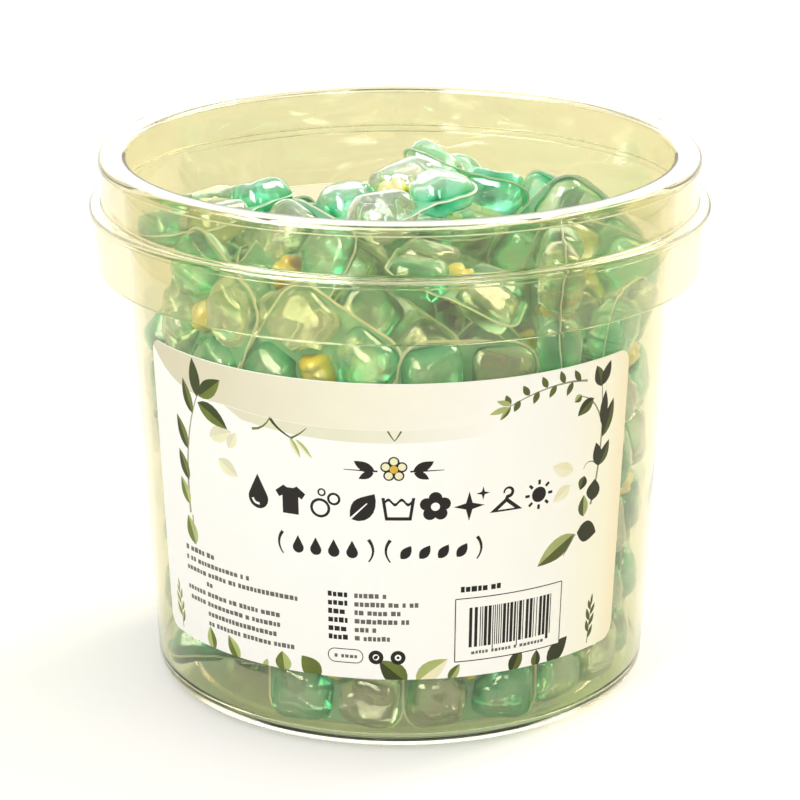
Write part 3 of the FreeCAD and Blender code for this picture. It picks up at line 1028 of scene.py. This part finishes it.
# %% The flower
flower_x, flower_y, petal = 3.8, 63.6, 4.3
petals = (disc(flower_x, flower_y, share * petal, 5, 90) for share in (0.52, 0.54))
for outer, inner in zip(*petals):
    ink("charcoal", disc(*outer, 0.36 * petal, 14))
    ink("petal", disc(*inner, 0.25 * petal, 12))
ink("gold", disc(flower_x, flower_y, 0.27 * petal, 12))
for side in (-1, 1):
    leaves((flower_x + side * 5.2, 63.2, 90 - side * 74, 6.2, 2.5, side * 16, "charcoal"),
           (flower_x + side * 5.4, 62.6, 90 - side * 108, 4.6, 1.9, side * -14, "charcoal"))
    stem([Vector((flower_x + side * 4.4, 63.0)), Vector((flower_x + side * 13.6, 63.2))], 0.4, "charcoal")
stem(curve((2.2, 74.8), (3.4, 72.6), (4, 71.9), 3), 0.4, "moss")
stem(curve((5.8, 74.8), (4.6, 72.6), (4, 71.9), 3), 0.4, "moss")
print(len(printed), "shapes with the flower")

# %% The row of wash-day pictures and the two brackets of drops and leaves
row, step = 52.4, 10.1
spots = [5.0 + (k - 4) * step for k in range(9)]


def drop(x, y, size):
    """A drop of water with its tip up."""
    ink("charcoal", arc(x, y, size * 0.5, 152, 388, 14) + [(x, y + size * 1.12)])


def placed(k, shape):
    """A shape about a picture's own middle, moved to its place in the row."""
    return [(spots[k] + x, row + y) for x, y in shape]


drop(spots[0], row - 1.1, 6.4)
ink("film", [point for radius, ends in ((2.1, (190, 285)), (1.4, (285, 190)))
             for point in arc(spots[0] - 0.1, row - 1.1, radius, *ends, 6)])
ink("charcoal", placed(1, ((-4.5, 2.2), (-2, 4.2), (-1, 3.6), (1, 3.6), (2, 4.2), (4.5, 2.2), (3.4, 0.5),
                           (2.4, 1.1), (2.4, -4.2), (-2.4, -4.2), (-2.4, 1.1), (-3.4, 0.5))))
for x, y, size, line in ((-1.4, -1.3, 2.9, 0.8), (2.5, 1.7, 1.9, 0.7), (-0.9, 3.4, 1.2, 0.5)):
    for name, radius in (("charcoal", size), ("film", size - line)):
        ink(name, disc(spots[2] + x, row + y, radius, 18))
leaf(spots[3] - 3.2, row - 3.8, 32, 10.4, 5.6, 28, "charcoal")
stem([Vector((spots[3] - 3.6, row - 4.3)), Vector((spots[3] + 1.6, row + 1.0))], 0.5, "film")
ink("charcoal", placed(4, ((-4.6, 2.8), (-3.7, 2.8), (-2.9, -2.9), (2.9, -2.9), (3.7, 2.8), (4.6, 2.8),
                           (3.6, -3.9), (-3.6, -3.9))))
wave = [Vector((spots[4] - 3.6 + 7.2 * k / 16, row + 1.5 + 0.75 * math.sin(k * math.pi / 4)))
        for k in range(17)]
ink("charcoal", [p + Vector((0, 0.45)) for p in wave] + [p - Vector((0, 0.45)) for p in reversed(wave)])
for middle in disc(spots[5], row, 2.5, 5, 90):
    ink("charcoal", disc(*middle, 1.9, 14))
ink("film", disc(spots[5], row, 1.25, 12))
for size, x, y in ((4.4, -0.7, -0.5), (2.0, 3.2, 3.0)):
    points = disc(spots[6] + x, row + y, size, 8, 90)
    points[1::2] = disc(spots[6] + x, row + y, size * 0.3, 8, 90)[1::2]
    ink("charcoal", points)
hanger = ((-4.9, -3.2), (4.9, -3.2), (0.0, 0.9))
ink("charcoal", placed(7, hanger))
ink("film", [(spots[7] + 0.52 * x, row - 1.95 + 0.52 * (y + 1.85)) for x, y in hanger])
hook = [Vector(p) for p in arc(spots[7] + 0.5, row + 2.4, 1.3, -100, 190, 12)]
stem([Vector((spots[7], row + 0.2)), *hook], 0.9, "charcoal")
ink("charcoal", disc(spots[8], row, 2.3, 16))
for way in (Vector(point) for point in disc(0, 0, 1, 8)):
    over = Vector((-way.y, way.x)) * 0.42
    start, end = (Vector((spots[8], row)) + way * reach for reach in (3.0, 4.4))
    ink("charcoal", [start + over, start - over, end - over, end + over])

for x, side in ((-29.6, 1), (-1.6, -1), (1.2, 1), (28.6, -1)):
    stem(curve((x + side * 1.6, 42.6), (x - side * 0.9, 39.2), (x + side * 1.6, 35.9)), 0.75, "charcoal")
for k in range(4):
    drop(-23.4 + 5.2 * k, 38.4, 3.3)
    leaf(5.6 + 5.2 * k, 37.0, 42, 4.9, 2.5, 20, "charcoal")
print(len(printed), "shapes with the pictures")

# %% Small print as dashes, the pill, two round marks and the block of bars
def small_print(x, y, length, high, name, rng):
    """A row of short dashes of uneven length, as small print looks from afar."""
    at = x
    while at < x + length - 0.8:
        wide = min(rng.uniform(0.9, 1.5) * high / 1.5, x + length - at)
        ink(name, block(at, y + rng.uniform(-0.05, 0.05), wide, high * rng.uniform(0.85, 1.0)))
        at += wide + (0.32 if rng.random() < 0.86 else 1.1)


rng = random.Random(5)
for k, (x, length) in enumerate(((-66, 13.5), (-66, 27), (-66, 42), (-57, 3.5), (-66, 36), (-65, 35),
                                 (-57, 26), (-57, 33))):
    small_print(x, 28.0 - 3.05 * k, length, 1.45 if k else 1.6, "grey", rng)
for k, length in enumerate((9, 18, 13, 16.5, 7.5, 10)):
    small_print(-15.0, 24.8 - 2.62 * k, 5.6, 1.6, "charcoal", rng)
    small_print(-7.4, 24.8 - 2.62 * k, length, 1.45, "grey", rng)
frame_line(-15.4, 4.6, 10.4, 4.4, 2.1, 0.28)
small_print(-13.4, 6.2, 6.6, 1.1, "grey", rng)
for x in (-1.4, 4.9):
    ink("charcoal", disc(x, 6.8, 2.15, 20))
    ink("film", disc(x, 6.8, 0.95, 12))
leaf(-2.0, 6.2, 45, 1.7, 0.9, 0, "charcoal")
ink("charcoal", disc(4.9, 6.8, 0.45, 8))
small_print(22.6, 26.0, 11.8, 1.75, "charcoal", rng)
frame_line(21.0, 4.6, 34.0, 19.6, 0.4, 0.32)
at = 25.2
while at < 51.0:
    wide = rng.choice((0.31, 0.31, 0.62, 0.93))
    long_bar = len(printed) % 9 == 0
    ink("charcoal", block(at, 7.4 if long_bar else 8.9, wide, 13.7 if long_bar else 12.2))
    at += wide + rng.choice((0.33, 0.33, 0.66))
small_print(26.0, 6.7, 24.0, 1.0, "grey", rng)
print(len(printed), "shapes in all")

# %% Cut the sheet along every outline and wrap it on the wall
points, loops, cuts = [], [], []
for _, outline in printed:
    add_loop(points, loops, [Vector(p) for p in outline])
columns, beyond = 66, 0.5
for k in range(1, columns):
    x = -across + label_width * k / columns
    cuts.append((len(points), len(points) + 1))
    points += [Vector((x, -beyond)), Vector((x, up + beyond))]
flat, _, pieces, _, _, owners = delaunay_2d_cdt(points, cuts, loops, 1, 1e-4)
places = []
for u, v in flat:
    z = label_low + v
    angle = -math.pi / 2 + u / wrap_radius
    radius = outside(z) + label_glue + label_film
    places.append((radius * math.cos(angle) * mm, radius * math.sin(angle) * mm, z * mm))
kept = [(face, max(over)) for face, over in zip(pieces, owners) if 0 in over]
label_mesh = bpy.data.meshes.new("printed_label")
label_mesh.from_pydata(places, [], [face for face, _ in kept])
label_mesh.polygons.foreach_set("material_index", [printed[top][0] for _, top in kept])
sheet_map = label_mesh.uv_layers.new(name="sheet")
for loop in label_mesh.loops:
    u, v = flat[loop.vertex_index]
    sheet_map.data[loop.index].uv = ((u + across) / label_width, v / up)
label_mesh.shade_smooth()
body = bmesh.new()
body.from_mesh(label_mesh)
bmesh.ops.delete(body, geom=[v for v in body.verts if not v.link_faces], context="VERTS")
body.to_mesh(label_mesh)
body.free()
print("label:", len(label_mesh.polygons), "pieces cut from", len(points), "points")

# %% [markdown]
# ## Film and inks
#
# The film is white polypropylene with a satin varnish. Its ground turns to cream towards the
# right-hand edge, as the design does, and the band at the top fades from tan to white. Each ink
# is laid thinly, so its shade drifts a little and the print is a touch less glossy than bare film.
# The cut sheet has slivers of many sizes, which would shade unevenly, so every point is told the
# wall's own facing.

# %% Materials of the label
def print_on_film(name, stops, drift, rough):
    """A printed colour that changes along the sheet, with a thin ink's drift, under satin varnish."""
    material, tree = new_material(name)
    sheet_place = add_node(tree, "ShaderNodeUVMap", uv_map="sheet")
    along = add_node(tree, "ShaderNodeSeparateXYZ", {0: sheet_place}).outputs["X"]
    ground = add_node(tree, "ShaderNodeValToRGB", {0: along}, stops=stops)
    place = add_node(tree, "ShaderNodeTexCoord").outputs["Object"]
    patch = add_node(tree, "ShaderNodeTexNoise", {"Vector": place, "Scale": 160.0, "Detail": 3.0})
    thin = add_node(tree, "ShaderNodeMapRange", {0: patch, 1: 0.3, 2: 0.7, 3: 1.0 - drift, 4: 1.0 + drift})
    shade = add_node(tree, "ShaderNodeHueSaturation", {"Value": thin, "Color": ground})
    grain = add_node(tree, "ShaderNodeTexNoise", {"Vector": place, "Scale": 900.0, "Detail": 2.0})
    tooth = add_node(tree, "ShaderNodeBump", {"Strength": 0.08, "Distance": 0.2 * mm, "Height": grain})
    ink_layer = add_node(tree, "ShaderNodeBsdfPrincipled",
                         {"Base Color": shade, "Roughness": rough, "IOR": 1.5,
                          "Normal": tooth, "Specular IOR Level": 0.22})
    add_node(tree, "ShaderNodeOutputMaterial", {"Surface": ink_layer})
    return material


for kind in (  # in the order of the inks, and last the bare back
        ("white_label_film", ((0.0, "#fbfbf9"), (0.55, "#fcfcfa"), (0.82, "#fbfbf3"), (0.95, "#f9f6dc"),
                              (1.0, "#f5e9c4")), 0.006, 0.40),
        ("tan_to_white_wash", ((0.0, "#d6d0b8"), (0.2, "#dedac2"), (0.45, "#f0eedb"), (0.71, "#fbfaf3")),
         0.01, 0.42),
        ("pale_green_wash", ((0.0, "#edf0d2"), (0.2, "#dfdec4"), (0.45, "#e6e6d0"), (0.69, "#faf9f1"),
                             (0.85, "#eeeccb")), 0.01, 0.42),
        ("olive_ink", ((0.0, "#3a441c"), (0.5, "#374020"), (1.0, "#30301a")), 0.14, 0.45),
        ("moss_ink", ((0.0, "#6b7a32"), (0.5, "#647234"), (1.0, "#4f5429")), 0.14, 0.45),
        ("sage_ink", ((0.0, "#b3c077"), (1.0, "#a3ac70")), 0.10, 0.45),
        ("stem_ink", ((0.0, "#a9ac9b"), (1.0, "#8a8c74")), 0.06, 0.45),
        ("charcoal_ink", ((0.0, "#1d1a18"), (1.0, "#1a1715")), 0.10, 0.42),
        ("grey_fine_print", ((0.0, "#6a6862"), (1.0, "#5f5d57")), 0.10, 0.42),
        ("petal_ink", ((0.0, "#eeeecb"), (1.0, "#e9e2bb")), 0.04, 0.42),
        ("gold_ink", ((0.0, "#d9b64a"), (1.0, "#d0aa3c")), 0.08, 0.42),
        ("plain_label_back", ((0.0, "#f4f3ee"), (1.0, "#f2f0e8")), 0.01, 0.55)):
    label_mesh.materials.append(print_on_film(*kind))
print("label materials:", [m.name for m in label_mesh.materials])

# %% The sheet gets its thickness and the wall's facing
label = put_in("printed_label", label_mesh)
film_depth = label.modifiers.new("film thickness", "SOLIDIFY")
film_depth.thickness = label_film * mm
film_depth.offset = -1.0
film_depth.material_offset = film_depth.material_offset_rim = len(label_mesh.materials)
solid_label = bpy.data.meshes.new_from_object(label.evaluated_get(bpy.context.evaluated_depsgraph_get()))
label.modifiers.remove(film_depth)
label.data = solid_label
facing = []
for vertex in solid_label.vertices:
    x, y, z = vertex.co / mm
    radius = math.hypot(x, y)
    out = Vector((x / radius, y / radius, -wall_slope)).normalized()
    facing.append(out if radius > outside(z) + label_glue + label_film / 2 else -out)
solid_label.normals_split_custom_set_from_vertices(facing)
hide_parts("label")
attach(label, "root")
